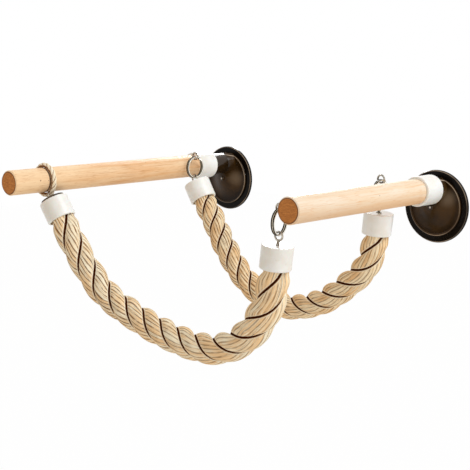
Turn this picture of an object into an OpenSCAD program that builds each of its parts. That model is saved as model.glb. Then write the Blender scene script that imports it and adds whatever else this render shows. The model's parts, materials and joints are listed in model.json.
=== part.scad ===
// Window bird perch: two wooden dowels on suction cups, with two rope swings between them.
// The glass is the plane y = 0, the dowels point into the room along -Y, +Z is up,
// and the origin lies on the glass midway between the dowels, at the height of their axes.

/* [Dowels] */
// Diameter of both wooden dowels
dowel_d = 25; // [22:0.5:29]
// Bare length of the left dowel, from its sleeve to its free end
left_reach = 258; // [236:1:300]
// Bare length of the right dowel, from its sleeve to its free end
right_reach = 199; // [180:1:225]
// Distance between the two dowel axes
dowel_spacing = 292; // [270:1:330]
// Chamfer round each free end
end_chamfer = 1.2; // [0.4:0.1:2.5]

/* [Sleeves] */
// Length of each white sleeve
sleeve_len = 27; // [24:0.5:36]
// Wall of the sleeve round the dowel
sleeve_wall = 2.6; // [1.8:0.1:4]
// Depth of the dowel inside its sleeve
dowel_seat = 14; // [10:0.5:16]
// Thickness of the web between the dowel and the neck
sleeve_web = 3; // [2:0.5:5]
// Rounding of the sleeve's outer edges
sleeve_round = 1.2; // [0.5:0.1:1.6]

/* [Suction cups] */
// Diameter of each suction cup
cup_d = 75; // [70:1:90]
// Outer diameter of the raised ring on the cup
cup_ring_d = 61; // [56:1:64]
// Height of the cup's dome above the glass
cup_h = 12; // [10:0.5:16]
// Thickness of the cup's rim
rim_t = 3.4; // [2.8:0.1:4.5]
// Depth of the hollow behind the cup
hollow_h = 3.4; // [2:0.1:3.8]
// Width of the flat lip that seals on the glass
lip_w = 3.5; // [2.5:0.1:6]
// Diameter of the cup's neck
neck_d = 24; // [20:0.5:25]
// Height of the neck's axis above the cup's centre
neck_offset = 18.5; // [12:0.5:19]
// Length of the left neck that shows between dome and sleeve
left_neck = 24; // [16:0.5:32]
// Length of the right neck that shows between dome and sleeve
right_neck = 2; // [1:0.5:12]
// Diameter of the small pull nub on the dome
nub_d = 6; // [4:0.5:8]

/* [Studs and nuts] */
// Diameter of the stud that joins a cup to its dowel
stud_d = 5; // [4:0.5:6]
// Depth of the stud in the dowel
stud_in_dowel = 16; // [10:1:24]
// Depth of the stud in the neck
stud_in_neck = 12; // [8:1:14]
// Width across flats of the nut in the neck
stud_nut_w = 8; // [8:0.5:11]
// Height of the nut in the neck
stud_nut_h = 4; // [3:0.5:5]

/* [Eyes] */
// Hole of each eye
eye_hole = 5.8; // [5.6:0.1:7]
// Wire of each eye
eye_wire = 1.8; // [1.4:0.1:2.2]
// Diameter of the wood screw on a dowel's eye
screw_d = 2.4; // [2:0.1:3]
// Depth of the wood screw in the dowel
screw_depth = 9; // [6:0.5:10]
// Diameter of the bolt on a cap's eye
bolt_d = 3; // [2.5:0.1:3.5]

/* [Split rings] */
// Outer diameter of each split ring
ring_od = 25; // [24:0.5:28]
// Width of the ring's wire towards its centre
ring_band = 1.8; // [1.4:0.1:2.2]
// Thickness of one turn of the ring
ring_turn = 1.5; // [1.2:0.1:1.5]
// Gap between the two turns
ring_slit = 0.45; // [0.42:0.01:0.5]
// Distance of each ring's plane from the side of its dowel
ring_off = 5.2; // [5.2:0.1:8]
// Height of the rear rings' centres above the dowel axes
rear_ring_z = 1; // [0:0.5:5]
// Drop of the front ring's centre below the dowel axes
front_ring_drop = 13; // [10:0.5:14]
// Distance of the front ring from the right dowel's free end
front_ring_inset = 10; // [6:0.5:30]
// Distance of the rear rings from the left sleeve
rear_ring_inset = 14; // [14:0.5:40]

/* [Twine loop] */
// Distance of the twine loop from the left dowel's free end
twine_inset = 45; // [20:1:60]
// Thickness of the twine
twine_d = 4.5; // [3:0.1:4.6]
// Radius of the twine where the cap's eye hangs on it
twine_bend = 4; // [3.2:0.1:5]
// Free space between the eye and the dowel
twine_room = 0.5; // [0.4:0.1:4]

/* [Ropes and caps] */
// Diameter of both ropes
rope_d = 25; // [22:0.5:28]
// Wall of each cap round its rope
cap_wall = 2.05; // [1.5:0.05:3]
// Length of each cap
cap_len = 22; // [20:0.5:30]
// Thickness of the cap's closed top
cap_top = 4; // [3:0.5:5]
// Rounding of the cap's edges
cap_round = 1; // [0.4:0.1:1.4]
// Slope of the two left caps below the horizontal
cap_slope = 57; // [50:1:75]
// Slope of the two right caps below the horizontal
steep_slope = 85; // [75:1:88]
// Length of the bare stem between a right cap and its eye
right_stem = 3; // [0.5:0.1:5]
// Diameter of the black bumper on the front left cap
bumper_d = 24; // [18:0.5:26]
// Thickness of the bumper
bumper_t = 2.2; // [1.2:0.1:2.4]
// Diameter of the washers inside the caps
washer_d = 9; // [8:0.5:12]
// Thickness of the washers
washer_t = 1; // [0.6:0.1:1.4]
// Width across flats of the nuts inside the caps
cap_nut_w = 6; // [5.5:0.5:8]
// Height of the nuts inside the caps
cap_nut_h = 2.4; // [2:0.1:3]

/* [Clearances] */
// Radial clearance of the dowel and the neck in the sleeve
sleeve_fit = 0.1; // [0.05:0.01:0.2]
// Radial clearance of the rope in its cap
rope_fit = 0.2; // [0.1:0.05:0.4]
// Radial clearance of studs, screws and bolts in their holes
bolt_fit = 0.1; // [0.05:0.01:0.2]
// Gap between a ring and the eye that it hangs in
ring_fit = 0.3; // [0.2:0.05:0.4]
// Gap between faces that meet
seat_fit = 0.05; // [0.02:0.01:0.1]

/* [Hidden] */

// Routes of the ropes between their cap mouths: the share of the way across in percent,
// and the height in millimetres
front_route = [
    [5, -60], [12, -83], [21, -105], [30, -117], [40, -127], [49, -134],
    [58, -139], [67, -142], [77, -140], [87, -127], [93, -110], [98, -88]
];
rear_route = [
    [4, -49], [9, -67], [14, -84], [21, -103], [28, -117], [36, -128], [46, -134],
    [56, -135], [66, -129], [76, -118], [86, -100], [94, -82], [98, -66]
];
rope_lead = 4;
rope_sides = 12;
rope_steps = 2;

dowel_r = dowel_d / 2;
sleeve_r = dowel_r + sleeve_fit + sleeve_wall;
neck_r = neck_d / 2;
cup_r = cup_d / 2;
cup_ring_r = cup_ring_d / 2;
stud_r = stud_d / 2;
half = dowel_spacing / 2;

// Stations along a dowel, measured from the glass, for a neck of a given bare length
neck_seat = sleeve_len - dowel_seat - sleeve_web;
function sleeve_from(neck) = cup_h + neck;
function neck_to(neck) = sleeve_from(neck) + neck_seat - seat_fit;
function dowel_from(neck) = sleeve_from(neck) + neck_seat + sleeve_web;
function sleeve_to(neck) = sleeve_from(neck) + sleeve_len;
left_to = sleeve_to(left_neck) + left_reach;
right_to = sleeve_to(right_neck) + right_reach;
rear_y = -(sleeve_to(left_neck) + rear_ring_inset);
ring_y = -(right_to - front_ring_inset);
twine_y = -(left_to - twine_inset);

// Eyes and rings
hole_r = eye_hole / 2;
wire_r = eye_wire / 2;
eye_mid = hole_r + wire_r;
eye_out = hole_r + eye_wire;
ring_r = ring_od / 2;
ring_in = ring_r - ring_band;
ring_shift = (ring_turn + ring_slit) / 2;
ring_half_w = ring_shift + ring_turn / 2;
// Distance from the ring's inner edge to the centre of an eye that it hangs in
eye_drop = sqrt(pow(hole_r - ring_fit, 2) - pow(ring_half_w, 2));
eye_from_ring = ring_in + eye_drop;
ring_x = dowel_r + ring_off;
jog_angle = 15;
// Place of the jog round the ring, from its top
jog_at = 45;
rings_a_turn = 24;
ring_rings = (720 - 2 * jog_angle) * rings_a_turn / 360 + 1;

// Twine loop, with its tip on the line that the front left cap pulls along
twine_r = twine_d / 2;
twine_fit = 0.15;
wrap_r = dowel_r + twine_r + twine_fit;
twine_eye = dowel_r + twine_room + eye_out;
twine_tip = twine_eye - (hole_r - twine_r - twine_fit);

// Caps, in a frame whose origin is the eye's centre and whose -Z points down the cap
cap_r = rope_d / 2 + rope_fit + cap_wall;
flange_t = 0.5;
cap_from = eye_out + flange_t;
cap_to = cap_from + cap_len;
nut_from = cap_from + cap_top + washer_t;
rope_from = nut_from + cap_nut_h + 3 * flange_t;
bolt_to = nut_from + cap_nut_h + flange_t;

// Pivots of the front rope: the twine's eye at the left and the split ring's centre at the right.
// Its plane is turned by front_yaw about Z, because they lie at different distances from the glass.
lean = 90 - cap_slope;
steep_lean = 90 - steep_slope;
left_pivot = [-half + twine_eye * sin(lean), twine_y, -twine_eye * cos(lean)];
right_pivot = [half - ring_x, ring_y, -front_ring_drop];
pivot_span = right_pivot - left_pivot;
front_yaw = atan2(pivot_span[1], pivot_span[0]);

// The four caps: the eye's centre, the lean that points the cap, the turn about Z, the bare stem
front_left = [left_pivot, -lean, front_yaw, 0];
front_right = [right_pivot - [0, 0, eye_from_ring], steep_lean, front_yaw, right_stem];
rear_left = [[-half + ring_x, rear_y, rear_ring_z - eye_from_ring], -lean, 0, 0];
rear_right = [[half - ring_x, rear_y, rear_ring_z - eye_from_ring], steep_lean, 0, right_stem];

// Vector helpers
function unit(v) = v / norm(v);
function ahead(yaw) = [cos(yaw), sin(yaw), 0];
function along_cap(e, d) = e[0] - (d + e[3]) * (sin(e[1]) * ahead(e[2]) + [0, 0, cos(e[1])]);

// A tube through a list of centres, with the same section turned square to the path.
// The path stays in a plane whose normal is n, and the section's points are [out, side].
function tangent(c, i, closed) =
    let (n = len(c),
         a = closed ? c[(i + n - 1) % n] : c[max(i - 1, 0)],
         b = closed ? c[(i + 1) % n] : c[min(i + 1, n - 1)])
    unit(b - a);
function tube_points(c, section, n, closed) = [
    for (i = [0 : len(c) - 1])
        let (t = tangent(c, i, closed), out = unit(cross(n, t)), side = cross(t, out))
        for (p = section) c[i] + p[0] * out + p[1] * side
];
function tube_faces(rings, sides, closed) = concat(
    [for (i = [0 : rings - (closed ? 1 : 2)], j = [0 : sides - 1])
        let (a = i * sides, b = ((i + 1) % rings) * sides, k = (j + 1) % sides)
        [a + j, a + k, b + k]],
    [for (i = [0 : rings - (closed ? 1 : 2)], j = [0 : sides - 1])
        let (a = i * sides, b = ((i + 1) % rings) * sides, k = (j + 1) % sides)
        [a + j, b + k, b + j]],
    closed ? [] : [for (j = [1 : sides - 2]) [0, j + 1, j]],
    closed ? [] : [for (j = [1 : sides - 2]) let (e = (rings - 1) * sides) [e, e + j, e + j + 1]]
);
function round_section(r, sides) = [
    for (j = [0 : sides - 1]) r * [cos(360 * j / sides), sin(360 * j / sides)]
];

module tube(c, section, n, closed = false) {
    polyhedron(points = tube_points(c, section, n, closed),
               faces = tube_faces(len(c), len(section), closed), convexity = 8);
}

// A smooth curve through points, by Catmull and Rom's rule
function curve_at(p, i, t) =
    let (a = p[max(i - 1, 0)], b = p[i], c = p[i + 1], d = p[min(i + 2, len(p) - 1)])
    0.5 * (2 * b + t * (c - a) + t * t * (2 * a - 5 * b + 4 * c - d)
           + t * t * t * (3 * b - a - 3 * c + d));
function smooth(p, steps) = concat(
    [for (i = [0 : len(p) - 2], k = [0 : steps - 1]) curve_at(p, i, k / steps)],
    [p[len(p) - 1]]
);
function path_len(c, i = 0) = i > len(c) - 2 ? 0 : norm(c[i + 1] - c[i]) + path_len(c, i + 1);

function rope_path(left, right, route) =
    let (a = along_cap(left, cap_to + rope_lead), b = along_cap(right, cap_to + rope_lead),
         m = [for (q = route)
             let (u = q[0] / 100) [a[0] + (b[0] - a[0]) * u, a[1] + (b[1] - a[1]) * u, q[1]]])
    concat([along_cap(left, rope_from)], smooth(concat([a], m, [b]), rope_steps),
           [along_cap(right, rope_from)]);
front_path = rope_path(front_left, front_right, front_route);
rear_path = rope_path(rear_left, rear_right, rear_route);

// The split ring: two flat turns side by side, joined by a short jog
function ring_angle(i) = jog_angle + i * 360 / rings_a_turn;
function ring_side(a) =
    let (u = (a - 360) / jog_angle)
    u < -1 ? -ring_shift : u > 1 ? ring_shift : ring_shift * sin(90 * u);
ring_mid = ring_r - ring_band / 2;
ring_path = [
    for (i = [0 : ring_rings - 1])
        let (a = ring_angle(i)) [ring_side(a), ring_mid * sin(a + jog_at), ring_mid * cos(a + jog_at)]
];
ring_section = [
    for (p = [[-1, -0.6], [-1, 0.6], [0, 1], [1, 0.6], [1, -0.6], [0, -1]])
        [p[0] * ring_band / 2, p[1] * ring_turn / 2]
];
ring_points = tube_points(ring_path, ring_section, [1, 0, 0], false);

ring_gap = min([
    for (i = [0 : ring_rings - rings_a_turn - 1], k = [-1 : 1])
        let (j = min(i + rings_a_turn + k, ring_rings - 1))
        for (p = [0 : 5], q = [0 : 5]) norm(ring_points[6 * i + p] - ring_points[6 * j + q])
]);

// The twine: round the dowel, and out to a small bend at the tip, here pointing down
tip_centre = twine_tip - twine_bend;
leave_angle = acos((wrap_r - twine_bend) / tip_centre);
wrap_steps = 26;
tip_steps = 5;
twine_path = concat(
    [for (i = [0 : wrap_steps])
        let (a = -90 + leave_angle + i * (360 - 2 * leave_angle) / wrap_steps)
        [wrap_r * cos(a), 0, wrap_r * sin(a)]],
    [for (i = [0 : tip_steps])
        let (a = -90 - leave_angle + i * 2 * leave_angle / tip_steps)
        [twine_bend * cos(a), 0, -tip_centre + twine_bend * sin(a)]]
);

echo(front_rope_length = path_len(front_path), rear_rope_length = path_len(rear_path));
echo(ring_gap = ring_gap);
echo(left_pivot = left_pivot, right_pivot = right_pivot, front_yaw = front_yaw);
echo(rear_pivots = [rear_left[0] + [0, 0, eye_from_ring], rear_right[0] + [0, 0, eye_from_ring]]);

// Frames
module at_dowel(x) { translate([x, 0, 0]) rotate([90, 0, 0]) children(); }
module at_eye(e) { translate(e[0]) rotate([0, 0, e[2]]) rotate([0, e[1], 0]) children(); }
module at_cap(e) { at_eye(e) translate([0, 0, -e[3]]) children(); }
module on_side(left) { mirror([left ? 0 : 1, 0, 0]) children(); }

module rod(r, from, to, fn = 64) { translate([0, 0, from]) cylinder(r = r, h = to - from, $fn = fn); }
module hex(w, from, to) { translate([0, 0, from]) cylinder(d = w / cos(30), h = to - from, $fn = 6); }

// A drum of radius r with both outer edges rounded
module rounded_drum(r, from, to, edge) {
    n = 5;
    rotate_extrude($fn = 72) polygon(concat(
        [[0, from]],
        [for (i = [0 : n]) let (a = -90 + 90 * i / n) [r - edge + edge * cos(a), from + edge + edge * sin(a)]],
        [for (i = [0 : n]) let (a = 90 * i / n) [r - edge + edge * cos(a), to - edge + edge * sin(a)]],
        [[0, to]]
    ));
}

// Direction of a dowel's eye, seen from the dowel's axis
function screw_turn(z) = atan2(ring_x, z);
function screw_dist(z) = norm([ring_x, z]);

module screw_hole(y, z) {
    translate([0, y, 0]) rotate([0, screw_turn(z), 0])
        rod(screw_d / 2 + bolt_fit, dowel_r - screw_depth - seat_fit, dowel_r + 1, 32);
}

module dowel(neck, to) {
    at_dowel(0) difference() {
        union() {
            rod(dowel_r, dowel_from(neck) + seat_fit, to - end_chamfer, 96);
            translate([0, 0, to - end_chamfer])
                cylinder(r1 = dowel_r, r2 = dowel_r - end_chamfer, h = end_chamfer, $fn = 96);
        }
        rod(stud_r + bolt_fit, dowel_from(neck) - 1, dowel_from(neck) + stud_in_dowel, 48);
    }
}

module sleeve(neck) {
    at_dowel(0) difference() {
        rounded_drum(sleeve_r, sleeve_from(neck), sleeve_to(neck), sleeve_round);
        rod(dowel_r + sleeve_fit, dowel_from(neck), sleeve_to(neck) + 1, 96);
        rod(neck_r + sleeve_fit, sleeve_from(neck) - 1, sleeve_from(neck) + neck_seat, 96);
        rod(stud_r + bolt_fit, sleeve_from(neck), sleeve_to(neck), 48);
    }
}

// Half profile of the cup: radius, and height above the glass
bead = 2.2;
bead_w = 3;
dome_r = cup_ring_r - bead_w;
dome_base = rim_t + bead / 2;
dome_steps = 10;
hollow_steps = 8;
hollow_r = cup_r - lip_w;
cup_profile = concat(
    [for (i = [0 : hollow_steps])
        let (u = i / hollow_steps) [hollow_r * u, hollow_h * (1 - u * u)]],
    [[cup_r - 0.6, 0], [cup_r, 0.7], [cup_r, rim_t - 1.2], [cup_r - 0.4, rim_t - 0.4], [cup_r - 1.4, rim_t]],
    [[cup_ring_r, rim_t]],
    [for (a = [0 : 30 : 180])
        [cup_ring_r - bead_w / 2 + bead_w / 2 * cos(a), rim_t + bead / 2 + bead / 2 * sin(a)]],
    [for (i = [1 : dome_steps])
        let (u = 1 - i / dome_steps) [dome_r * u, dome_base + (cup_h - dome_base) * (1 + cos(180 * u)) / 2]]
);

module suction_cup(neck) {
    flare = min(3, neck);
    at_dowel(0) difference() {
        union() {
            translate([0, -neck_offset, 0]) rotate_extrude($fn = 96) polygon(cup_profile);
            rod(neck_r, rim_t, neck_to(neck), 96);
            translate([0, 0, rim_t])
                cylinder(r1 = neck_r + flare, r2 = neck_r, h = cup_h - rim_t + flare, $fn = 96);
            translate([0, -neck_offset, cup_h - 1]) rounded_drum(nub_d / 2, 0, nub_d / 2, 1);
        }
        hex(stud_nut_w + 4 * bolt_fit, neck_to(neck) - stud_nut_h - seat_fit, neck_to(neck) + 1);
        rod(stud_r + bolt_fit, neck_to(neck) - stud_in_neck - seat_fit, neck_to(neck) + 1, 48);
        // The flare stays inside the raised ring
        translate([-cup_r, cup_ring_r - neck_offset, rim_t]) cube([cup_d, cup_r, cup_h + flare]);
    }
}

module cup_stud(neck) {
    at_dowel(0) rod(stud_r, neck_to(neck) - stud_in_neck, dowel_from(neck) + stud_in_dowel - 1, 48);
}

module stud_nut(neck) {
    at_dowel(0) difference() {
        hex(stud_nut_w, neck_to(neck) - stud_nut_h, neck_to(neck));
        rod(stud_r + bolt_fit / 2, 0, neck_to(neck) + 1, 48);
    }
}

// An eye of round wire in its own XZ plane, with a stem down -Z
module wire_loop() {
    rotate([90, 0, 0]) rotate_extrude($fn = 64) translate([eye_mid, 0]) circle(r = wire_r, $fn = 24);
}
module stem(r, to) { rod(r, -to, -eye_mid, 32); }

module dowel_eye(z) {
    translate([ring_x, 0, z]) rotate([0, screw_turn(z), 0]) {
        wire_loop();
        stem(screw_d / 2, screw_dist(z) - dowel_r + screw_depth);
    }
}

// quarter turns the loop so that it stands across the rope's plane
module cap_eye(bare, quarter = false) {
    rotate([0, 0, quarter ? 90 : 0]) wire_loop();
    stem(bolt_d / 2, bare + bolt_to);
    translate([0, 0, -bare]) rod(bolt_d / 2 + 1.4, -cap_from, -cap_from + flange_t, 32);
}

module split_ring() {
    polyhedron(points = ring_points, faces = tube_faces(ring_rings, 6, false), convexity = 8);
}

module cap() {
    difference() {
        rounded_drum(cap_r, -cap_to, -cap_from - seat_fit, cap_round);
        rod(rope_d / 2 + rope_fit, -cap_to - 1, -cap_from - cap_top, 72);
        rod(bolt_d / 2 + bolt_fit, -cap_to, 0, 32);
    }
}

module cap_washer() {
    difference() {
        rod(washer_d / 2, -nut_from + seat_fit, -cap_from - cap_top - seat_fit, 48);
        rod(bolt_d / 2 + bolt_fit, -cap_to, 0, 32);
    }
}

module cap_nut() {
    difference() {
        hex(cap_nut_w, -nut_from - cap_nut_h, -nut_from - seat_fit);
        rod(bolt_d / 2 + bolt_fit / 2, -cap_to, 0, 32);
    }
}

module bumper() {
    difference() {
        rounded_drum(bumper_d / 2, -cap_from + seat_fit, -cap_from + bumper_t, 0.5);
        rod(eye_out + 0.3, -cap_from - 1, 0, 48);
    }
}

module rope(path, yaw) { tube(path, round_section(rope_d / 2, rope_sides), [-sin(yaw), cos(yaw), 0]); }

// Sub-parts in their places
wood = "burlywood";
steel = "dimgray";
plastic = "whitesmoke";
black = [0.12, 0.1, 0.08];
hemp = [0.84, 0.71, 0.54];
rear_eye_z = rear_ring_z + eye_from_ring;
front_eye_z = -front_ring_drop + eye_from_ring;

module left_dowel() {
    color(wood) translate([-half, 0, 0]) difference() {
        dowel(left_neck, left_to);
        screw_hole(rear_y, rear_eye_z);
    }
}
module right_dowel() {
    color(wood) translate([half, 0, 0]) difference() {
        dowel(right_neck, right_to);
        on_side(false) {
            screw_hole(rear_y, rear_eye_z);
            screw_hole(ring_y, front_eye_z);
        }
    }
}
module left_sleeve() { color(plastic) translate([-half, 0, 0]) sleeve(left_neck); }
module right_sleeve() { color(plastic) translate([half, 0, 0]) sleeve(right_neck); }
module left_suction_cup() { color(black) translate([-half, 0, 0]) suction_cup(left_neck); }
module right_suction_cup() { color(black) translate([half, 0, 0]) suction_cup(right_neck); }
module left_cup_stud() { color(steel) translate([-half, 0, 0]) cup_stud(left_neck); }
module right_cup_stud() { color(steel) translate([half, 0, 0]) cup_stud(right_neck); }
module left_stud_nut() { color(steel) translate([-half, 0, 0]) stud_nut(left_neck); }
module right_stud_nut() { color(steel) translate([half, 0, 0]) stud_nut(right_neck); }
module twine_loop() {
    color("cornsilk") translate([-half, twine_y, 0]) rotate([0, -lean, 0])
        tube(twine_path, round_section(twine_r, 8), [0, 1, 0], true);
}
module rear_left_dowel_eye() { color(steel) translate([-half, rear_y, 0]) dowel_eye(rear_eye_z); }
module front_right_dowel_eye() {
    color(steel) translate([half, ring_y, 0]) on_side(false) dowel_eye(front_eye_z);
}
module rear_right_dowel_eye() {
    color(steel) translate([half, rear_y, 0]) on_side(false) dowel_eye(rear_eye_z);
}
module rear_left_ring() { color(steel) translate([-half + ring_x, rear_y, rear_ring_z]) split_ring(); }
module front_right_ring() { color(steel) translate(right_pivot) rotate([0, 0, front_yaw]) split_ring(); }
module rear_right_ring() { color(steel) translate([half - ring_x, rear_y, rear_ring_z]) split_ring(); }
module front_rope() { color(hemp) rope(front_path, front_yaw); }
module rear_rope() { color(hemp) rope(rear_path, 0); }
module front_left_cap() { color(plastic) at_cap(front_left) cap(); }
module front_right_cap() { color(plastic) at_cap(front_right) cap(); }
module rear_left_cap() { color(plastic) at_cap(rear_left) cap(); }
module rear_right_cap() { color(plastic) at_cap(rear_right) cap(); }
module front_left_cap_eye() { color(steel) at_eye(front_left) cap_eye(front_left[3], quarter = true); }
module front_right_cap_eye() { color(steel) at_eye(front_right) cap_eye(front_right[3]); }
module rear_left_cap_eye() { color(steel) at_eye(rear_left) cap_eye(rear_left[3]); }
module rear_right_cap_eye() { color(steel) at_eye(rear_right) cap_eye(rear_right[3]); }
module front_cap_washers() { color(steel) for (e = [front_left, front_right]) at_cap(e) cap_washer(); }
module rear_cap_washers() { color(steel) for (e = [rear_left, rear_right]) at_cap(e) cap_washer(); }
module front_cap_nuts() { color(steel) for (e = [front_left, front_right]) at_cap(e) cap_nut(); }
module rear_cap_nuts() { color(steel) for (e = [rear_left, rear_right]) at_cap(e) cap_nut(); }
module front_left_bumper() { color(black) at_cap(front_left) bumper(); }

left_dowel();
right_dowel();
left_sleeve();
right_sleeve();
left_suction_cup();
right_suction_cup();
left_cup_stud();
right_cup_stud();
left_stud_nut();
right_stud_nut();
twine_loop();
rear_left_dowel_eye();
front_right_dowel_eye();
rear_right_dowel_eye();
rear_left_ring();
front_right_ring();
rear_right_ring();
front_rope();
rear_rope();
front_left_cap();
front_right_cap();
rear_left_cap();
rear_right_cap();
front_left_cap_eye();
front_right_cap_eye();
rear_left_cap_eye();
rear_right_cap_eye();
front_cap_washers();
rear_cap_washers();
front_cap_nuts();
rear_cap_nuts();
front_left_bumper();
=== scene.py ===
import json
import math
import bpy
import numpy as np
from mathutils import Matrix, Vector


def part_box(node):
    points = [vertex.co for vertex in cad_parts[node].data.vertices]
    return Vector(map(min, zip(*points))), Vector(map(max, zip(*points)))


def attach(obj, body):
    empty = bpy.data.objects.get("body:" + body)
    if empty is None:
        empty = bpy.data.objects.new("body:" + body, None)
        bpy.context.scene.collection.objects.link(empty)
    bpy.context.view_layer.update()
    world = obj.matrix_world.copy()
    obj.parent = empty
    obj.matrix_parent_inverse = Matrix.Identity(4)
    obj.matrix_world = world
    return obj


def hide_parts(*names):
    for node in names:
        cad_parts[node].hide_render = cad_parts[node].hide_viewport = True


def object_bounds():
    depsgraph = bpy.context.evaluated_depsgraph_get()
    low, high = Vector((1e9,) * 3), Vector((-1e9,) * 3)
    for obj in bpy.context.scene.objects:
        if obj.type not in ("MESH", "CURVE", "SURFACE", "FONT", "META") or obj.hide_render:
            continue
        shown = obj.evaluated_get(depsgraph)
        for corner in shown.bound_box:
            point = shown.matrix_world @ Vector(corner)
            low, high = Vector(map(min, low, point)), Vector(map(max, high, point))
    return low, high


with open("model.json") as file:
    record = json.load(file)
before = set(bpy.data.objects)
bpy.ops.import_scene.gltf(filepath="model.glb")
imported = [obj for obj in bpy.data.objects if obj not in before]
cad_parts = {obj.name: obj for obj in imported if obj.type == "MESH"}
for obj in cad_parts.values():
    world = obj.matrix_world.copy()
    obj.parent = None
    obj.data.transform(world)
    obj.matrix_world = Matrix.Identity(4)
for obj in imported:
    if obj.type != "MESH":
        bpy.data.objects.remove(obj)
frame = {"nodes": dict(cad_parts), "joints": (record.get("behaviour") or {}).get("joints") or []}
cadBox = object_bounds()
mm = 0.001
random = np.random.default_rng(7)
pivots = {j["name"]: np.array(j["pos_m"]) for j in frame["joints"]}

# Camera: where the photograph was taken from, in metres and degrees
cameraLook = {
    "position": (0.74768, -0.96553, 0.14476),
    "azimuth": 42.4154,
    "elevation": 10.0564,
    "roll": 1.3723,
    "lens": 84.26,
    "sensor": 36.0,
    "nearest": 0.05,
    "farthest": 20.0,
}


def makeCamera(look):
    azimuth, elevation, roll = (math.radians(look[k]) for k in ("azimuth", "elevation", "roll"))
    back = Vector((math.sin(azimuth) * math.cos(elevation),
                   -math.cos(azimuth) * math.cos(elevation), math.sin(elevation)))
    right = (-back).cross(Vector((0, 0, 1))).normalized()
    up = right.cross(-back)
    across = math.cos(roll) * right + math.sin(roll) * up
    upward = math.cos(roll) * up - math.sin(roll) * right
    data = bpy.data.cameras.new("camera")
    data.lens, data.sensor_width = look["lens"], look["sensor"]
    data.clip_start, data.clip_end = look["nearest"], look["farthest"]
    camera = bpy.data.objects.new("camera", data)
    bpy.context.scene.collection.objects.link(camera)
    turn = Matrix((across, upward, back)).transposed().to_4x4()
    camera.matrix_world = Matrix.Translation(look["position"]) @ turn
    bpy.context.scene.camera = camera
    return across, upward, back


viewRight, viewUp, viewBack = makeCamera(cameraLook)
print("camera placed")


# One node's output, which takes + - * and ** like a number
class Wire:
    def __init__(self, finish, socket):
        self.finish, self.socket = finish, socket

    def maths(self, operation, first, second):
        return self.finish.node("Math", {"operation": operation}, {0: first, 1: second})

    def __add__(self, other):
        return self.maths("ADD", self, other)

    def __radd__(self, other):
        return self.maths("ADD", other, self)

    def __sub__(self, other):
        return self.maths("SUBTRACT", self, other)

    def __rsub__(self, other):
        return self.maths("SUBTRACT", other, self)

    def __mul__(self, other):
        return self.maths("MULTIPLY", self, other)

    def __rmul__(self, other):
        return self.maths("MULTIPLY", other, self)

    def __pow__(self, other):
        return self.maths("POWER", self, other)

    def __rpow__(self, other):
        return self.maths("POWER", other, self)


# A node tree to draw a finish in, for a material or the world
class Finish:
    def __init__(self, owner):
        owner.use_nodes = True
        self.owner, self.tree = owner, owner.node_tree

    def node(self, kind, settings=(), inputs=(), output=0):
        made = self.tree.nodes.new("ShaderNode" + kind)
        for key, value in dict(settings).items():
            setattr(made, key, value)
        for key, value in dict(inputs).items():
            self.feed(made.inputs[key], value)
        return Wire(self, made.outputs[output])

    def feed(self, socket, value):
        if isinstance(value, Wire):
            self.tree.links.new(value.socket, socket)
        elif isinstance(value, tuple) and len(value) == 3 and socket.type == "RGBA":
            socket.default_value = (*value, 1)
        else:
            socket.default_value = value

    def place(self):
        return self.node("TexCoord", output=3)      # the piece's own coordinates, in metres

    def attribute(self, name, output=2):
        return self.node("Attribute", {"attribute_name": name}, output=output)

    def parts(self, vector):
        split = self.node("SeparateXYZ", inputs={0: vector}).socket.node
        return [Wire(self, s) for s in split.outputs]

    def scaled(self, vector, scales):
        return self.node("VectorMath", {"operation": "MULTIPLY"}, {0: vector, 1: scales})

    def distance(self, vector, point):
        return self.node("VectorMath", {"operation": "DISTANCE"}, {0: vector, 1: point}, output=1)

    def size(self, value):
        return self.node("Math", {"operation": "ABSOLUTE"}, {0: value})

    def noise(self, vector, scale, detail=3.0, roughness=0.55, twist=0.0):
        return self.node("TexNoise", inputs={"Vector": vector, "Scale": scale, "Detail": detail,
                                             "Roughness": roughness, "Distortion": twist})

    def ease(self, value, low, high, start=0.0, end=1.0):
        return self.node("MapRange", {"interpolation_type": "SMOOTHSTEP"},
                         {0: value, 1: low, 2: high, 3: start, 4: end})

    def mix(self, share, first, second):
        return self.node("Mix", {"data_type": "RGBA"}, {0: share, 6: first, 7: second}, output=2)


# A material with its shader
class Surface(Finish):
    def __init__(self, name, constants):
        super().__init__(bpy.data.materials.new(name))
        self.shader = self.tree.nodes["Principled BSDF"]
        for key, value in constants.items():
            self.feed(self.shader.inputs[key], value)

    def drive(self, **wires):
        for key, value in wires.items():            # baseColor drives the socket named Base Color
            words = "".join(" " + c if c.isupper() else c for c in key).title()
            self.feed(self.shader.inputs[words], value)

    def relief(self, height, distance, strength):
        self.drive(normal=self.node("Bump", inputs={"Height": height, "Distance": distance,
                                                    "Strength": strength}))


# A colour as a screen shows it, in numbers up to 255, turned into the shader's own
def colour(red, green, blue):
    return tuple(((c / 255 + 0.055) / 1.055) ** 2.4 if c > 10 else c / 255 / 12.92
                 for c in (red, green, blue))


def dress(finish, *nodes):
    for name in nodes:
        slots = frame["nodes"][name].data.materials
        slots.clear()
        slots.append(finish.owner)


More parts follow.
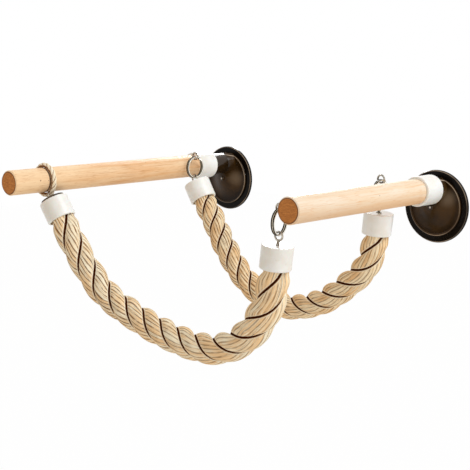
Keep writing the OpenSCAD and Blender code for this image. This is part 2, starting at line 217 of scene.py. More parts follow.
# Stage: white surround, a large soft key from the upper right, two small lamps for the gloss
# on the black rubber, above and behind it and at the right, a soft fill from below, and a
# little warm light from all sides. A lamp lies so far right, up and back in the camera's view
stageLook = {
    "floorZ": -1.3,
    "floorSize": 14.0,
    "floorColour": (0.9, 0.9, 0.89),
    "floorRoughness": 0.9,
    "floorGlow": 0.985,
    "surround": (1.0, 0.89, 0.77),
    "surroundStrength": 0.66,
    "lampTint": (0.935, 0.985, 1.02),
    "lamps": (
        {"name": "key", "lies": (0.75, 0.85, 0.55), "distance": 1.7, "power": 13.3, "size": 1.0},
        {"name": "top", "lies": (0.1, 0.6, -0.8), "distance": 1.1, "power": 4.5, "size": 0.22},
        {"name": "edge", "lies": (0.95, 0.25, 0.5), "distance": 1.2, "power": 1.2, "size": 0.12},
        {"name": "fill", "lies": (0.35, -0.7, 0.7), "distance": 1.4, "power": 2.4, "size": 1.2},
    ),
}


def makeLamp(lamp, tint):
    data = bpy.data.lights.new(lamp["name"], "AREA")
    data.energy, data.size, data.color = lamp["power"], lamp["size"], tint
    light = bpy.data.objects.new(lamp["name"], data)
    light.visible_camera = False
    bpy.context.scene.collection.objects.link(light)
    right, up, back = lamp["lies"]
    towards = (right * viewRight + up * viewUp + back * viewBack).normalized()
    light.location = (cadBox[0] + cadBox[1]) / 2 + lamp["distance"] * towards
    light.rotation_euler = (-towards).to_track_quat("-Z", "Y").to_euler()


def seenRays(finish):                               # 1 for what the camera or a reflection sees
    path = finish.node("LightPath").socket.node
    camera, glossy, clear = (Wire(finish, path.outputs[name]) for name in
                             ("Is Camera Ray", "Is Glossy Ray", "Is Transmission Ray"))
    return camera + glossy + clear


def makeSurround(look):
    world = bpy.data.worlds.new("surround")
    bpy.context.scene.world = world
    sky = Finish(world)
    seen = seenRays(sky)
    ground = sky.tree.nodes["Background"]
    plain = look["surroundStrength"]
    sky.feed(ground.inputs["Color"], sky.mix(seen, look["surround"], (1, 1, 1)))
    sky.feed(ground.inputs["Strength"], plain + seen * (1 - plain))


def makeFloor(look):
    half = look["floorSize"] / 2
    corners = [(-half, -half, 0), (half, -half, 0), (half, half, 0), (-half, half, 0)]
    mesh = bpy.data.meshes.new("floor")
    mesh.from_pydata(corners, [], [(0, 1, 2, 3)])
    floor = bpy.data.objects.new("floor", mesh)
    floor.location.z = look["floorZ"]
    bpy.context.scene.collection.objects.link(floor)
    pale = Surface("floor", {"Base Color": look["floorColour"],
                             "Roughness": look["floorRoughness"]})
    lit = Wire(pale, pale.shader.outputs[0])
    glow = pale.node("Emission", inputs={"Color": (1, 1, 1), "Strength": 1.0})
    share = seenRays(pale) * look["floorGlow"]
    mixed = pale.node("MixShader", inputs={0: share, 1: lit, 2: glow})
    pale.feed(pale.tree.nodes["Material Output"].inputs["Surface"], mixed)
    mesh.materials.append(pale.owner)


def makeStage(look):
    makeSurround(look)
    makeFloor(look)
    for lamp in look["lamps"]:
        makeLamp(lamp, look["surround"] if lamp["name"] == "fill" else look["lampTint"])
    bpy.context.scene.view_settings.view_transform = "Standard"


makeStage(stageLook)
print("stage lit")


# Makes an object from arrays of points and faces, and stores point values by name
def meshPiece(name, points, faces, finish, values):
    mesh = bpy.data.meshes.new(name)
    mesh.from_pydata([tuple(p) for p in points], [], [tuple(f) for f in faces])
    for key, data in values.items():
        data = np.asarray(data, dtype=np.float32)
        kind, field = ("FLOAT", "value") if data.ndim == 1 else ("FLOAT_VECTOR", "vector")
        mesh.attributes.new(key, kind, "POINT").data.foreach_set(field, data.ravel())
    mesh.polygons.foreach_set("use_smooth", [True] * len(mesh.polygons))
    mesh.materials.append(finish.owner)
    mesh.update()
    piece = bpy.data.objects.new(name, mesh)
    bpy.context.scene.collection.objects.link(piece)
    return piece


def unit(vectors):
    return vectors / np.linalg.norm(vectors, axis=-1, keepdims=True)


# Directions across a path that stays in a plane: out and sideways at each point
def pathFrames(path, planeNormal, closed):
    if closed:
        ahead = unit(np.roll(path, -1, axis=0) - np.roll(path, 1, axis=0))
    else:
        ahead = unit(np.gradient(path, axis=0))
    out = unit(np.cross(planeNormal, ahead))
    return out, np.cross(ahead, out)


def sumSoFar(steps):
    return np.concatenate([[0], np.cumsum(steps)])


def distances(path):
    return sumSoFar(np.linalg.norm(np.diff(path, axis=0), axis=1))


# The same line with its points an even step apart
def evenly(path, step):
    along = distances(path)
    wanted = np.linspace(0, along[-1], max(2, round(along[-1] / step) + 1))
    return np.stack([np.interp(wanted, along, path[:, k]) for k in range(3)], axis=1)


# Four-sided faces between rings of points, with a lid at each end of an open tube
def gridFaces(rings, sides, closed):
    i, j = np.meshgrid(np.arange(rings if closed else rings - 1), np.arange(sides), indexing="ij")
    i2, j2 = (i + 1) % rings, (j + 1) % sides
    faces = np.stack([i * sides + j, i * sides + j2, i2 * sides + j2, i2 * sides + j], axis=-1)
    faces = faces.reshape(-1, 4).tolist()
    if not closed:
        last = (rings - 1) * sides
        faces += [list(range(sides))[::-1], list(range(last, last + sides))]
    return faces


# A smooth random line between -1 and 1, from a few waves about one step long
def waves(along, step, count, closed):
    total = np.zeros_like(along)
    length = along[-1] + along[1]
    for n in range(count):
        wavesIn = length / (step * random.uniform(0.6, 1.8))
        wavesIn = max(1, round(wavesIn)) if closed else wavesIn
        total += np.sin(2 * np.pi * along / length * wavesIn + random.uniform(0, 2 * np.pi))
    return total / count


# How many turns the strands have made at each point, for leads at the start, middle and end,
# and how many yarns have passed on a strand by then
def layAlong(along, length, look, closed):
    share = along / length
    strands, yarns = look["strands"], look["yarnsAcross"]
    start, middle, end = look["leads"]
    tilt = np.interp(share, (0, 0.5, 1), look["yarnTilts"])
    if closed:
        turns = share * round(length / middle * strands) / strands
        return turns, share * round(turns[-1] * strands * yarns * tilt[0])
    lead = (middle + (start - middle) * np.clip(1 - 2 * share, 0, 1) ** look["leadBend"]
            + (end - middle) * np.clip(2 * share - 1, 0, 1) ** look["leadBend"])
    turns = sumSoFar(np.diff(along) * (1 / lead[1:] + 1 / lead[:-1]) / 2)
    return turns, sumSoFar(np.diff(turns) * (tilt[1:] + tilt[:-1]) / 2) * strands * yarns


# How much thicker than its section the line is at each point
def thickening(share, look):
    fromEnds = np.minimum(share, 1 - share) - look["tightEnds"]
    fromEnds = np.clip(fromEnds / look["looseOver"], 0, 1)
    bulge = np.exp(-((share - look["fullAt"]) / look["fullSpread"]) ** 2)
    return (1 + look["looser"] * fromEnds) * (1 + look["fullness"] * bulge)


# A strand's section, as angles and distances from the line's middle: a crown, which is an arc
# of an ellipse, and two flat faces where it meets its neighbours
def strandSection(look):
    radius, half = look["diameter"] / 2, math.pi / look["strands"]
    high, wide = look["strandHeight"] / 2, look["strandWidth"] / 2
    spread = np.linspace(-half, half, look["crownPoints"])
    offset = radius - high
    square = (np.cos(spread) / high) ** 2 + (np.sin(spread) / wide) ** 2
    linear = offset * np.cos(spread) / high ** 2
    crown = (linear + np.sqrt(linear ** 2 - square * ((offset / high) ** 2 - 1))) / square
    flat = crown[-1] * np.array([0.7, 0.35])        # two points down a flat face
    angle = np.concatenate([spread, [half, half, 0, -half, -half]])
    reach = np.concatenate([crown, flat, [0.03 * radius], flat[::-1]])
    onCrown = np.concatenate([np.ones(len(spread)), np.zeros(5)])
    return angle, reach, onCrown


# Strands laid round a path, each split evenly into yarns
def twistedLine(name, path, planeNormal, look, finish, closed=False):
    along = distances(path)
    length = along[-1] + (np.linalg.norm(path[0] - path[-1]) if closed else 0)
    turns, yarnShift = layAlong(along, length, look, closed)
    thicker = thickening(along / length, look)[:, None]
    out, side = pathFrames(path, planeNormal, closed)
    angle, reach, onCrown = strandSection(look)
    strands, yarns = look["strands"], look["yarnsAcross"]
    radius, half = look["diameter"] / 2, math.pi / strands
    points, faces, groove, yarn, fibre = [], [], [], [], []
    for k in range(strands):
        lay = look["phase"] + 2 * np.pi * (turns + k / strands)
        wander = look["wanderBy"] * waves(along, look["wander"], 4, closed)
        place = angle[None, :] / (2 * half) * yarns + (yarnShift + wander)[:, None]
        drift = look["bunchDrift"] * waves(along, look["wander"], 4, closed)[:, None]
        place = place + look["bunching"] * np.sin(look["bunchPitch"] * place + drift)
        lobe = np.abs(np.sin(np.pi * place)) ** look["yarnRound"]   # 1 on a yarn's back
        swell = 1 + look["uneven"] * waves(along, look["unevenStep"], 3, closed)[:, None]
        away = (reach[None, :] * swell + look["yarnDepth"] * (lobe - 1) * onCrown) * thicker
        facing = lay[:, None] + angle[None, :]
        ring = path[:, None] + away[..., None] * (np.cos(facing)[..., None] * out[:, None]
                                                  + np.sin(facing)[..., None] * side[:, None])
        faces += [[v + len(angle) * len(path) * k for v in f]
                  for f in gridFaces(len(path), len(angle), closed)]
        points.append(ring.reshape(-1, 3))
        fromNeighbour = away * np.sin(half - np.abs(angle)) * onCrown
        groove.append(np.clip(1 - fromNeighbour / look["grooveWidth"], 0, 1).ravel())
        yarn.append((place + 50 * k).ravel())       # so that no two strands share a yarn
        spot = np.stack([place * 2 * half * radius / yarns, np.full_like(place, k * radius),
                         np.broadcast_to(along[:, None], place.shape)], axis=-1)
        fibre.append(spot.reshape(-1, 3))
    values = {"groove": np.concatenate(groove), "yarn": np.concatenate(yarn),
              "fibre": np.concatenate(fibre)}
    return meshPiece(name, np.concatenate(points), faces, finish, values)


# Hemp for ropes and twine: streaks along the yarns, painted shade in the grooves between
# strands and in the valleys between yarns, and a painted highlight on the grooves' lips
hempLook = {
    "crown": colour(255, 249, 226),
    "body": colour(247, 214, 168),
    "shadow": colour(118, 74, 30),
    "groove": colour(78, 30, 2),
    "lip": colour(255, 250, 232),
    "roughness": 0.95,
    "streakScale": 1300.0,
    "streakStretch": 0.03,
    "streakAt": (0.4, 0.6),
    "patchScale": 60.0,
    "yarnTone": 0.14,                               # how much the yarns differ from each other
    "patchTone": 0.2,
    "valley": 0.25,                                 # how wide the painted shade lines between yarns are
    "valleyShare": 0.95,
    "breaks": 6.0,                                  # how much shorter they are than the streaks
    "breaksAt": (0.37, 0.55),
    "paintedLightRight": 0.35,                                # how much weaker they and the flecks are at the right, painted light on the right part
    "paintedLightRightAt": (-60 * mm, 60 * mm),
    "fleck": 0.55,
    "fleckAt": (0.58, 0.7),
    "lipHighlightShare": 0.8,
    "lipHighlightFrom": (0.08, 0.28),
    "lipHighlightTo": (0.38, 0.48),
    "grooveAt": (0.42, 0.66),
    "relief": 0.6 * mm,
}


def hempFinish(name, look):
    hemp = Surface(name, {"Roughness": look["roughness"], "Specular IOR Level": 0.0})
    groove, yarn = hemp.attribute("groove"), hemp.attribute("yarn")
    acrossYarn = hemp.node("Math", {"operation": "PINGPONG"}, {0: yarn, 1: 0.5})
    yarnNumber = hemp.node("Math", {"operation": "FLOOR"}, {0: yarn})
    tone = hemp.node("TexWhiteNoise", {"noise_dimensions": "1D"}, {"W": yarnNumber})
    fibre = hemp.scaled(hemp.attribute("fibre", 1), (1, 1, look["streakStretch"]))
    streak = hemp.noise(fibre, look["streakScale"], 4, 0.7)
    thread = hemp.noise(fibre, look["streakScale"] * 3, 2, 0.6)
    patch = hemp.noise(hemp.place(), look["patchScale"], 2, 0.5)
    uneven = look["yarnTone"] * (tone - 0.5) + look["patchTone"] * (patch - 0.5)
    plain = hemp.mix(hemp.ease(streak + uneven, *look["streakAt"]), look["body"], look["crown"])

    x = hemp.parts(hemp.place())[0]
    # Painted light: the dark lines and flecks fade towards the right, so the right part reads
    # lighter
    rightLightFade = hemp.ease(x, *look["paintedLightRightAt"], 1, 1 - look["paintedLightRight"])
    shorter = hemp.scaled(fibre, (1, 1, look["breaks"]))
    broken = hemp.noise(shorter, look["streakScale"] * 0.45, 2, 0.5)
    fade = hemp.ease(broken, *look["breaksAt"], 0.25, 1)
    # Painted shade in the valleys between yarns
    valley = hemp.ease(acrossYarn + 0.05 * (thread - 0.5), 0.05, look["valley"], 1, 0)
    shaded = hemp.mix(valley * fade * rightLightFade * look["valleyShare"], plain, look["shadow"])
    fleck = hemp.ease(hemp.noise(fibre, look["streakScale"] * 1.7, 1, 0.5), *look["fleckAt"])
    shaded = hemp.mix(fleck * rightLightFade * look["fleck"], shaded, look["shadow"])

    # Painted highlight: a pale lip beside each groove
    lip = hemp.ease(groove, *look["lipHighlightFrom"]) * hemp.ease(groove, *look["lipHighlightTo"], 1, 0)
    edged = hemp.mix(lip * look["lipHighlightShare"], shaded, look["lip"])
    # Painted shade: dark in the grooves between strands
    deep = hemp.ease(groove + 0.15 * (streak - 0.5), *look["grooveAt"])
    body = hemp.mix(deep, edged, look["groove"])
    if "core" in look:                              # painted shade, dark where it lies on the dowel
        fromCore = hemp.distance(hemp.scaled(hemp.place(), (1, 0, 1)), look["core"])
        underShade = hemp.ease(fromCore, *look["coreTo"], 0.9, 0)
        body = hemp.mix(underShade, body, look["groove"])
    hemp.drive(baseColor=body)
    hemp.relief(streak * 0.6 + thread * 0.4, look["relief"], 0.7)
    return hemp


# Painted shade: a darker, browner copy of the hemp for the rear rope, which lies further from the
# lamps
rearHempLook = {
    **hempLook,
    "crown": colour(255, 243, 213),
    "body": colour(240, 201, 151),
}
twineHempLook = {
    **hempLook,
    "crown": colour(255, 253, 242),
    "body": colour(253, 244, 220),
    "shadow": colour(238, 204, 152),
    "groove": colour(146, 92, 42),
    "streakScale": 1600.0,
    "valley": 0.15,
    "fleck": 0.2,
    "core": (-146 * mm, 0, 0),
    "coreTo": (14.7 * mm, 15.5 * mm),
}
rope = hempFinish("ropeHemp", hempLook)
rearRope = hempFinish("rearRopeHemp", rearHempLook)
twine = hempFinish("twineHemp", twineHempLook)

# Ropes: how they are laid
ropeLook = {
    "diameter": 25 * mm,
    "strands": 3,
    "strandHeight": 12.8 * mm,
    "strandWidth": 14.9 * mm,
    "crownPoints": 45,
    "leadBend": 1.5,                                # how the lead changes along the rope
    "yarnsAcross": 8.0,
    "yarnTilts": (1.0, 0.94, 0.9),                  # 1 where the yarns run along the rope
    "yarnRound": 0.55,
    "yarnDepth": 0.6 * mm,
    "bunching": 0.15,                               # how unevenly the yarns lie in a strand
    "bunchPitch": 1.9,
    "bunchDrift": 3.0,
    "grooveWidth": 3.15 * mm,
    "wander": 50 * mm,
    "wanderBy": 0.35,
    "uneven": 0.02,
    "unevenStep": 30 * mm,
    "step": 1.2 * mm,
    "looser": 0.09,                                 # how much thicker it is outside its caps
    "tightEnds": 0.045,
    "looseOver": 0.015,
    "fullness": 0.0,                                # how much thicker it is at its fullest
    "fullAt": 0.82,
    "fullSpread": 0.14,
}
frontRopeLook = {
    **ropeLook,
    "leads": (111 * mm, 66 * mm, 93 * mm),
    "phase": 1.578,
    "looser": 0.15,
    "fullness": 0.11,
    "yarnTilts": (1.14, 0.9, 0.74),
}
rearRopeLook = {
    **ropeLook,
    "leads": (60 * mm, 70 * mm, 72 * mm),
    "phase": 0.766,
}

# The caps that the ropes come out of, and the routes between the caps' mouths, as the share
# of the way across in percent and the height in metres
capLook = {
    "slope": 57.0,
    "steepSlope": 85.0,
    "eyeFromRing": 12.645 * mm,
    "stem": 3 * mm,
    "ropeFrom": 14.1 * mm,
    "ropeLead": 31.2 * mm,
}
frontRoute = [(5, -0.060), (12, -0.083), (21, -0.105), (30, -0.117), (40, -0.127), (49, -0.134),
              (58, -0.139), (67, -0.142), (77, -0.140), (87, -0.127), (93, -0.110), (98, -0.088)]
rearRoute = [(4, -0.049), (9, -0.067), (14, -0.084), (21, -0.103), (28, -0.117), (36, -0.128),
             (46, -0.134), (56, -0.135), (66, -0.129), (76, -0.118), (86, -0.100), (94, -0.082),
             (98, -0.066)]


# A point on a cap's axis, so far from its eye
def capPoint(eye, lean, yaw, distance):
    lean, yaw = math.radians(lean), math.radians(yaw)
    return eye - distance * np.array([math.sin(lean) * math.cos(yaw),
                                      math.sin(lean) * math.sin(yaw), math.cos(lean)])


# A smooth curve that goes through every point
def curveThrough(points, steps=12):
    line = []
    for i in range(len(points) - 1):
        a, b, c, d = (points[min(max(i + k, 0), len(points) - 1)] for k in (-1, 0, 1, 2))
        for t in np.arange(steps) / steps:
            line.append(0.5 * (2 * b + t * (c - a) + t * t * (2 * a - 5 * b + 4 * c - d)
                               + t ** 3 * (3 * b - a - 3 * c + d)))
    return np.array(line + [points[-1]])


def ropePath(leftEye, rightEye, yaw, route):
    leftLean, rightLean = capLook["slope"] - 90, 90 - capLook["steepSlope"]
    left = [capPoint(leftEye, leftLean, yaw, capLook[key]) for key in ("ropeFrom", "ropeLead")]
    right = [capPoint(rightEye, rightLean, yaw, capLook[key] + capLook["stem"])
             for key in ("ropeLead", "ropeFrom")]
    between = [np.array([*(left[1] + (right[0] - left[1]) * share / 100)[:2], height])
               for share, height in route]
    middle = curveThrough([left[1], *between, right[0]])
    return evenly(np.vstack([left[0], middle, right[1]]), ropeLook["step"])


def makeRope(name, node, body, leftEye, rightEye, route, look, finish):
    across = rightEye - leftEye
    yaw = math.degrees(math.atan2(across[1], across[0]))
    path = ropePath(leftEye, rightEye, yaw, route)
    normal = np.array([-math.sin(math.radians(yaw)), math.cos(math.radians(yaw)), 0])
    piece = twistedLine(name, path, normal, look, finish)
    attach(piece, body)
    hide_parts(node)


drop = np.array([0, 0, -capLook["eyeFromRing"]])
makeRope("frontRopeStrands", "front_rope", "front_swing", pivots["front_swing_hinge"],
         pivots["front_right_ring_spin"] + drop, frontRoute, frontRopeLook, rope)
makeRope("rearRopeStrands", "rear_rope", "rear_swing", pivots["rear_left_ring_spin"] + drop,
         pivots["rear_right_ring_spin"] + drop, rearRoute, rearRopeLook, rearRope)
print("ropes laid")

# Twine: once round the left dowel, with its tip in the front left cap's eye
twineLook = {
    **ropeLook,
    "diameter": 5.0 * mm,
    "leads": (19 * mm, 19 * mm, 19 * mm),
    "phase": 0.0,
    "strandHeight": 3.0 * mm,
    "strandWidth": 3.2 * mm,
    "crownPoints": 15,
    "yarnsAcross": 3.0,
    "yarnTilts": (1.0, 1.0, 1.0),
    "yarnDepth": 0.1 * mm,
    "bunching": 0.0,
    "grooveWidth": 0.7 * mm,
    "wander": 12 * mm,
    "wanderBy": 0.2,
    "unevenStep": 10 * mm,
    "step": 0.6 * mm,
    "looser": 0.0,
    "fullness": -0.14,                              # squeezed where the cap's eye hangs
    "fullAt": 0.902,
    "fullSpread": 0.07,
    "wrapRadius": 15.1 * mm,
    "wrapPoints": 60,
    "tipBend": 4 * mm,
    "tipPoints": 12,
    "tipReach": 17.2 * mm,
}


def makeTwine(look):
    low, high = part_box("left_dowel")
    centre = np.array([(low.x + high.x) / 2, pivots["front_swing_hinge"][1],
                       (low.z + high.z) / 2])
    lean = math.radians(90 - capLook["slope"])
    tipCentre = look["tipReach"] - look["tipBend"]
    leave = math.acos((look["wrapRadius"] - look["tipBend"]) / tipCentre)
    wrap = [(look["wrapRadius"], a, 0)
            for a in np.linspace(-np.pi / 2 + leave, 1.5 * np.pi - leave, look["wrapPoints"])]
    tip = [(look["tipBend"], a, tipCentre)
           for a in np.linspace(-np.pi / 2 - leave, -np.pi / 2 + leave, look["tipPoints"])]
    flat = np.array([(r * math.cos(a), 0, r * math.sin(a) - down) for r, a, down in wrap + tip])
    flat = evenly(np.vstack([flat, flat[:1]]), look["step"])[:-1]
    tilt = np.array([[math.cos(lean), 0, -math.sin(lean)], [0, 1, 0],
                     [math.sin(lean), 0, math.cos(lean)]])
    piece = twistedLine("twineStrands", centre + flat @ tilt.T, np.array([0, 1, 0]), look, twine,
                        closed=True)
    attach(piece, "frame")
    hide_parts("twine_loop")


makeTwine(twineLook)
print("twine tied")

# Dowels: pale wood with fine grain along the dowel, a few pin knots, darker end grain,
# painted shade along the underside and a painted shadow beside the twine
woodLook = {
    "pale": colour(240, 211, 174),
    "warm": colour(230, 185, 138),
    "line": colour(196, 136, 84),
    "roughness": 0.5,
    "grainScale": 210.0,
    "cloudScale": 70.0,
    "growthAt": (0.37, 0.65),
    "fineAt": (0.5, 0.66),                          # the fine lines of the grain
    "fineShare": 0.5,
    "dashAt": (0.62, 0.72),                         # its short dark dashes
    "dashShare": 0.6,
    "underShade": colour(226, 172, 110),                 # painted shade along the underside
    "underShadeShare": 0.25,
    "underShadeAt": (6 * mm, -8 * mm),
    "underShadeWave": 4 * mm,
    "fresh": colour(252, 224, 184),                 # paler towards the free end
    "freshShare": 0.5,
    "freshTo": (40 * mm, 150 * mm),
    "knot": colour(122, 62, 26),
    "knotSize": 0.9 * mm,
    "knotShare": 0.85,
    "rub": colour(58, 28, 8),                       # painted shadow, a dark line beside the twine
    "twineShadowFrom": (4.2 * mm, 3.5 * mm),
    "twineShadowTo": (2.6 * mm, 1.6 * mm),
    "twineShadowShare": 0.9,
    "end": colour(208, 138, 70),
    "endDark": colour(164, 100, 48),
    "endScale": 420.0,
    "poreScale": 1500.0,
    "endGrowthAt": (0.36, 0.64),
    "endRim": colour(84, 44, 16),
    "endRimFrom": (2.3 * mm, 1.3 * mm),
    "endRimShare": 0.85,
    "endDepth": (0.1 * mm, 0.4 * mm),
    "relief": 0.3 * mm,
}


def woodFinish(name, node, look, knots, paintedLightingLineAt=None):
    low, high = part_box(node)
    radius = (high.x - low.x) / 2
    axis = ((low.x + high.x) / 2, 0, (low.z + high.z) / 2)
    wood = Surface(name, {"Specular IOR Level": 0.3, "Coat Weight": 0.04, "Coat Roughness": 0.4})
    place = wood.node("VectorMath", {"operation": "SUBTRACT"}, {0: wood.place(), 1: axis})
    x, y, z = wood.parts(place)

    fine = wood.noise(wood.scaled(place, (1, 0.03, 1)), look["grainScale"] * 4, 4, 0.65)
    broad = wood.noise(wood.scaled(place, (1, 0.05, 1)), look["grainScale"], 3, 0.6, 0.4)
    cloud = wood.noise(wood.scaled(place, (1, 0.25, 1)), look["cloudScale"], 2, 0.5)
    dash = wood.noise(wood.scaled(place, (1, 0.06, 1)), look["grainScale"] * 7, 1, 0.5)
    growth = wood.ease(broad * 0.65 + cloud * 0.35, *look["growthAt"])
    body = wood.mix(growth, look["pale"], look["warm"])
    body = wood.mix(wood.ease(fine, *look["fineAt"]) * look["fineShare"], body, look["line"])
    # Painted shade: warmer and darker along the underside
    underShadeMask = wood.ease(z + look["underShadeWave"] * cloud, *look["underShadeAt"])
    body = wood.mix(underShadeMask * look["underShadeShare"], body, look["underShade"])
    free = wood.ease(y, *(low.y + far for far in look["freshTo"]), 1, 0)
    body = wood.mix(free * look["freshShare"], body, look["fresh"])
    body = wood.mix(wood.ease(dash, *look["dashAt"]) * look["dashShare"], body, look["line"])
    for spot, size in knots:
        away = wood.distance(place, spot)
        onKnot = wood.ease(away, 0.35 * size, size, look["knotShare"], 0)
        body = wood.mix(onKnot, body, look["knot"])
    # Painted shadow: a dark line on the dowel beside the twine
    if paintedLightingLineAt is not None:
        paintedLightingLine = (wood.ease(y, *(paintedLightingLineAt - far for far in look["twineShadowFrom"]))
                  * wood.ease(y, *(paintedLightingLineAt - far for far in look["twineShadowTo"]), 1, 0))
        body = wood.mix(paintedLightingLine * look["twineShadowShare"], body, look["rub"])

    fromAxis = (x * x + z * z) ** 0.5
    rings = wood.noise(wood.scaled(place, (0.5, 1, 2.4)), look["endScale"], 3, 0.6, 0.6)
    pores = wood.noise(place, look["poreScale"], 2, 0.6)
    growth = wood.ease(rings * 0.5 + pores * 0.5, *look["endGrowthAt"])
    rim = wood.ease(fromAxis, *(radius - far for far in look["endRimFrom"]))
    grain = wood.mix(growth, look["end"], look["endDark"])
    grain = wood.mix(rim * look["endRimShare"], grain, look["endRim"])
    cut = wood.ease(y, *(low.y + far for far in look["endDepth"]), 1, 0)
    wood.drive(baseColor=wood.mix(cut, body, grain), roughness=look["roughness"] + 0.25 * cut)
    wood.relief(fine * 0.5 + dash * 0.3 + pores * cut * 0.6, look["relief"], 0.5)
    dress(wood, node)


# A pin knot on a dowel's side, by its turn from +X
def knotAt(angle, y, size=1.0, radius=12.5 * mm):
    turn = math.radians(angle)
    spot = (radius * math.cos(turn), y, radius * math.sin(turn))
    return spot, size * woodLook["knotSize"]


paleWoodLook = {
    **woodLook,
    "pale": colour(236, 224, 207),
    "warm": colour(234, 210, 180),
    "line": colour(222, 172, 122),
    # More painted shade along this dowel's underside
    "underShade": colour(234, 182, 122),
    "underShadeShare": 0.7,
    "fresh": colour(232, 222, 208),
    "freshShare": 0.25,
}
leftKnots = [knotAt(7, -0.291, 1.2), knotAt(4, -0.281, 0.7), knotAt(54, -0.144, 0.8),
             knotAt(150, -0.21)]
rightKnots = [knotAt(20, -0.120, 0.8), knotAt(160, -0.15), knotAt(-120, -0.19, 0.7)]
woodFinish("leftDowelWood", "left_dowel", woodLook, leftKnots,
           paintedLightingLineAt=pivots["front_swing_hinge"][1])
woodFinish("rightDowelWood", "right_dowel", paleWoodLook, rightKnots)
print("dowels finished")

# Sleeves and caps: white plastic, moulded, with a faint sheen
plasticLook = {
    "white": colour(239, 243, 245),
    "warm": colour(232, 232, 228),
    "roughness": 0.34,
    "coat": 0.25,
    "cloudScale": 45.0,
    "cloudAt": (0.4, 0.65),
    "scuff": colour(218, 212, 202),
    "scuffScale": 260.0,
    "scuffAt": (0.62, 0.72),
    "scuffShare": 0.35,
    "gritScale": 900.0,
    "relief": 0.1 * mm,
}


def plasticFinish(look):
    plastic = Surface("whitePlastic", {"Coat Weight": look["coat"], "Coat Roughness": 0.25,
                                       "Subsurface Weight": 0.05, "Subsurface Scale": 0.002})
    place = plastic.place()
    cloud = plastic.noise(place, look["cloudScale"], 3, 0.5)
    grit = plastic.noise(place, look["gritScale"], 2, 0.6)
    body = plastic.mix(plastic.ease(cloud, *look["cloudAt"]), look["white"], look["warm"])
    scuffAndGleam = plastic.noise(place, look["scuffScale"], 4, 0.65)
    scuffed = plastic.ease(scuffAndGleam, *look["scuffAt"]) * look["scuffShare"]
    plastic.drive(baseColor=plastic.mix(scuffed, body, look["scuff"]),
                  roughness=look["roughness"] + 0.12 * grit + 0.15 * scuffed)
    plastic.relief(grit, look["relief"], 0.3)
    dress(plastic, "left_sleeve", "right_sleeve", "front_left_cap", "front_right_cap",
          "rear_left_cap", "rear_right_cap")


plasticFinish(plasticLook)

# Suction cups and the bumper: dark glossy rubber. The bumper is a dark disc that stands in for
# the shade between the left dowel and its cap, painted shade. A cup's rim, neck and rings are
# found by how far they are from the glass, which is -Y, or from the cup's axis
rubberLook = {
    "black": colour(40, 26, 9),
    "brown": colour(68, 47, 20),
    "roughness": 0.16,
    "coat": 0.1,
    "neckCoat": 0.45,                               # more gloss on the necks and less on the rims
    "rimCoat": 0.08,
    "cloudScale": 35.0,
    "cloudAt": (0.35, 0.7),
    "rim": colour(10, 5, 2),
    "rimAt": (-5.5 * mm, -3.5 * mm),
    "outsideAt": (-3.0 * mm, -2.6 * mm),
    "nubAt": (-10 * mm, -9 * mm),
    "neckAt": (-16 * mm, -11 * mm),
    "neckEnds": (-80 * mm, -70 * mm),               # the bumper lies further out than that
    "neckShare": 0.6,
    "paintedLightingLine": colour(176, 160, 142),                # painted highlight, pale lines on the edges of the raised ring and the lip
    "paintedLightingLineAt": (29.6 * mm, 36.7 * mm),
    "paintedLightingLineWidth": 0.5 * mm,
    "gleamBreaksScale": 22.0,
    "gleamBreaksAt": (0.4, 0.6),
    "cupsAt": 146 * mm,
    "cupsDown": 18.5 * mm,
    "paintedGleam": colour(128, 112, 94),                  # painted highlight, a pale patch on each cone
    "paintedGleamsAt": ((-129 * mm, 0, -17 * mm), (162 * mm, 0, -8 * mm)),
    "paintedGleamSize": 12 * mm,
    "paintedGleamShare": 0.5,
    "smudge": colour(46, 41, 36),                   # on the hollow side
    "smudgeScale": 55.0,
    "smudgeAt": (0.42, 0.66),
    # Painted highlight: a pale dot on each nub's tip
    "tip": colour(228, 222, 214),
    "tipSize": 1.3 * mm,
    "gritScale": 1400.0,
    "relief": 0.05 * mm,
}


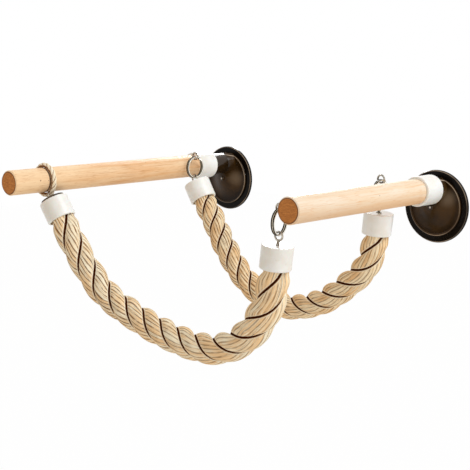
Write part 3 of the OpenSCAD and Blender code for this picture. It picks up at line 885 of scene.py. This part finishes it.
def rubberFinish(look):
    rubber = Surface("blackRubber", {"Specular IOR Level": 0.08, "Coat Roughness": 0.1})
    place = rubber.place()
    x, y, z = rubber.parts(place)
    fromAxis = ((rubber.size(x) - look["cupsAt"]) ** 2 + (z + look["cupsDown"]) ** 2) ** 0.5
    outside = rubber.ease(y, *look["outsideAt"], 1, 0)
    onRim = rubber.ease(y, *look["rimAt"])
    onNub = rubber.ease(y, *look["nubAt"], 0.8, 0)
    onTip = onNub * rubber.ease(fromAxis, 0.6 * look["tipSize"], look["tipSize"], 1, 0)
    onNeck = rubber.ease(y, *look["neckAt"], 1, 0) * rubber.ease(y, *look["neckEnds"])
    facing = rubber.parts(rubber.node("NewGeometry", output=1))[1]  # 1 towards the glass
    inHollow = rubber.ease(facing, 0.3, 0.8)

    cloud = rubber.noise(place, look["cloudScale"], 3, 0.5)
    grit = rubber.noise(place, look["gritScale"], 2, 0.5)
    body = rubber.mix(rubber.ease(cloud, *look["cloudAt"]), look["black"], look["brown"])
    body = rubber.mix(onRim, body, look["rim"])
    # Painted highlight lines on the raised ring and the lip, broken by noise
    gleamBreaks = rubber.noise(place, look["gleamBreaksScale"], 2, 0.5)
    scuffAndGleam = outside * (0.2 + 0.65 * rubber.ease(gleamBreaks, *look["gleamBreaksAt"]))
    for radius in look["paintedLightingLineAt"]:
        away = rubber.size(fromAxis - radius)
        edge = rubber.ease(away, 0.3 * look["paintedLightingLineWidth"], look["paintedLightingLineWidth"], 1, 0)
        body = rubber.mix(scuffAndGleam * edge, body, look["paintedLightingLine"])
    # Painted highlight: a pale patch on each cone
    for spot in look["paintedGleamsAt"]:
        away = rubber.distance(rubber.scaled(place, (1, 0, 1)), spot)
        paintedGleam = rubber.ease(away, 0.1 * look["paintedGleamSize"], look["paintedGleamSize"],
                            look["paintedGleamShare"], 0)
        body = rubber.mix(paintedGleam * outside, body, look["paintedGleam"])
    body = rubber.mix(onNeck * look["neckShare"], body, look["rim"])
    dust = rubber.noise(rubber.scaled(place, (1, 1, 1.6)), look["smudgeScale"], 4, 0.6)
    smudged = inHollow * (0.25 + 0.6 * rubber.ease(dust, *look["smudgeAt"]))
    body = rubber.mix(smudged, body, look["smudge"])
    # Painted highlight on the nub's tip
    body = rubber.mix(onTip, body, look["tip"])
    rubber.drive(baseColor=body, roughness=look["roughness"] + 0.1 * cloud + 0.06 * grit,
                 coatWeight=look["coat"] - look["rimCoat"] * onRim + look["neckCoat"] * onNeck)
    rubber.relief(grit, look["relief"], 0.25)
    dress(rubber, "left_suction_cup", "right_suction_cup", "front_left_bumper")


rubberFinish(rubberLook)

# Steel: bright wire, with a painted dark reflection on the rings' outer and inner faces
steelLook = {
    "face": colour(246, 239, 224),
    "bright": colour(196, 186, 170),
    "dull": colour(66, 57, 48),
    "dark": colour(9, 6, 4),
    "roughness": 0.2,
    "shadeFaceAt": (0.1, 0.38),
    "cloudScale": 240.0,
    "cloudAt": (0.35, 0.7),
    "scratchScale": 1800.0,
    "relief": 0.05 * mm,
}


def steelFinish(name, look, shadeFaces):
    steel = Surface(name, {"Metallic": 1.0})
    place = steel.place()
    cloud = steel.noise(place, look["cloudScale"], 3, 0.6)
    scratch = steel.noise(steel.scaled(place, (1, 1, 0.2)), look["scratchScale"], 2, 0.6)
    if shadeFaces:
        # Painted dark reflection on the wire's outer and inner faces
        seam = steel.ease(steel.attribute("seam"), *look["shadeFaceAt"])
        body = steel.mix(seam, look["face"], look["dark"])
    else:
        body = steel.mix(steel.ease(cloud, *look["cloudAt"]), look["bright"], look["dull"])
    steel.drive(baseColor=body, roughness=look["roughness"] + 0.15 * cloud + 0.08 * scratch)
    steel.relief(scratch, look["relief"], 0.3)
    return steel


steel = steelFinish("steel", steelLook, False)
shadeFacedSteel = steelFinish("ringSteel", steelLook, True)
dress(steel, "left_cup_stud", "right_cup_stud", "left_stud_nut", "right_stud_nut",
      "rear_left_dowel_eye", "front_right_dowel_eye", "rear_right_dowel_eye",
      "front_left_cap_eye", "front_right_cap_eye", "rear_left_cap_eye", "rear_right_cap_eye",
      "front_cap_washers", "rear_cap_washers", "front_cap_nuts", "rear_cap_nuts")
print("plastic, rubber and steel finished")

# Split rings: two turns of flat wire side by side, joined by a jog
ringLook = {
    "outer": 12.5 * mm,
    "band": 1.8 * mm,
    "turn": 1.5 * mm,
    "slit": 0.45 * mm,
    "jog": 15.0,
    "jogAt": 45.0,
    "steps": 96,
    "sides": 16,
    "bandSquare": 0.6,                              # 1 is a round wire, less is squarer
    "turnSquare": 0.75,
}


def makeRing(name, node, body, pivot, yaw, look):
    angles = np.arange(look["jog"], 720 - look["jog"] + 0.1, 360 / look["steps"])
    shift = (look["turn"] + look["slit"]) / 2
    sideways = shift * np.sin(np.pi / 2 * np.clip((angles - 360) / look["jog"], -1, 1))
    middle = look["outer"] - look["band"] / 2
    around = np.radians(angles + look["jogAt"])
    path = np.stack([sideways, middle * np.sin(around), middle * np.cos(around)], axis=1)
    out, across = pathFrames(path, np.array([1, 0, 0]), False)
    turn = 2 * np.pi * np.arange(look["sides"]) / look["sides"]
    wide, thick = (size / 2 * np.sign(wave) * np.abs(wave) ** square for size, wave, square in
                   ((look["band"], np.cos(turn), look["bandSquare"]),
                    (look["turn"], np.sin(turn), look["turnSquare"])))
    points = (path[:, None] + wide[None, :, None] * out[:, None]
              + thick[None, :, None] * across[:, None])
    c, s = math.cos(yaw), math.sin(yaw)
    points = pivot + points.reshape(-1, 3) @ np.array([[c, s, 0], [-s, c, 0], [0, 0, 1]])
    seam = np.tile(np.cos(turn) ** 2, len(path))    # 1 on the wire's outer and inner face, painted dark there
    faces = gridFaces(len(path), look["sides"], False)
    piece = meshPiece(name, points, faces, shadeFacedSteel, {"seam": seam})
    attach(piece, body)
    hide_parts(node)


frontSpan = pivots["front_right_ring_spin"] - pivots["front_swing_hinge"]
frontYaw = math.atan2(frontSpan[1], frontSpan[0])
for corner, yaw in (("rear_left", 0.0), ("front_right", frontYaw), ("rear_right", 0.0)):
    makeRing(corner + "_coil", corner + "_ring", corner + "_ring_body",
             pivots[corner + "_ring_spin"], yaw, ringLook)
print("rings coiled")
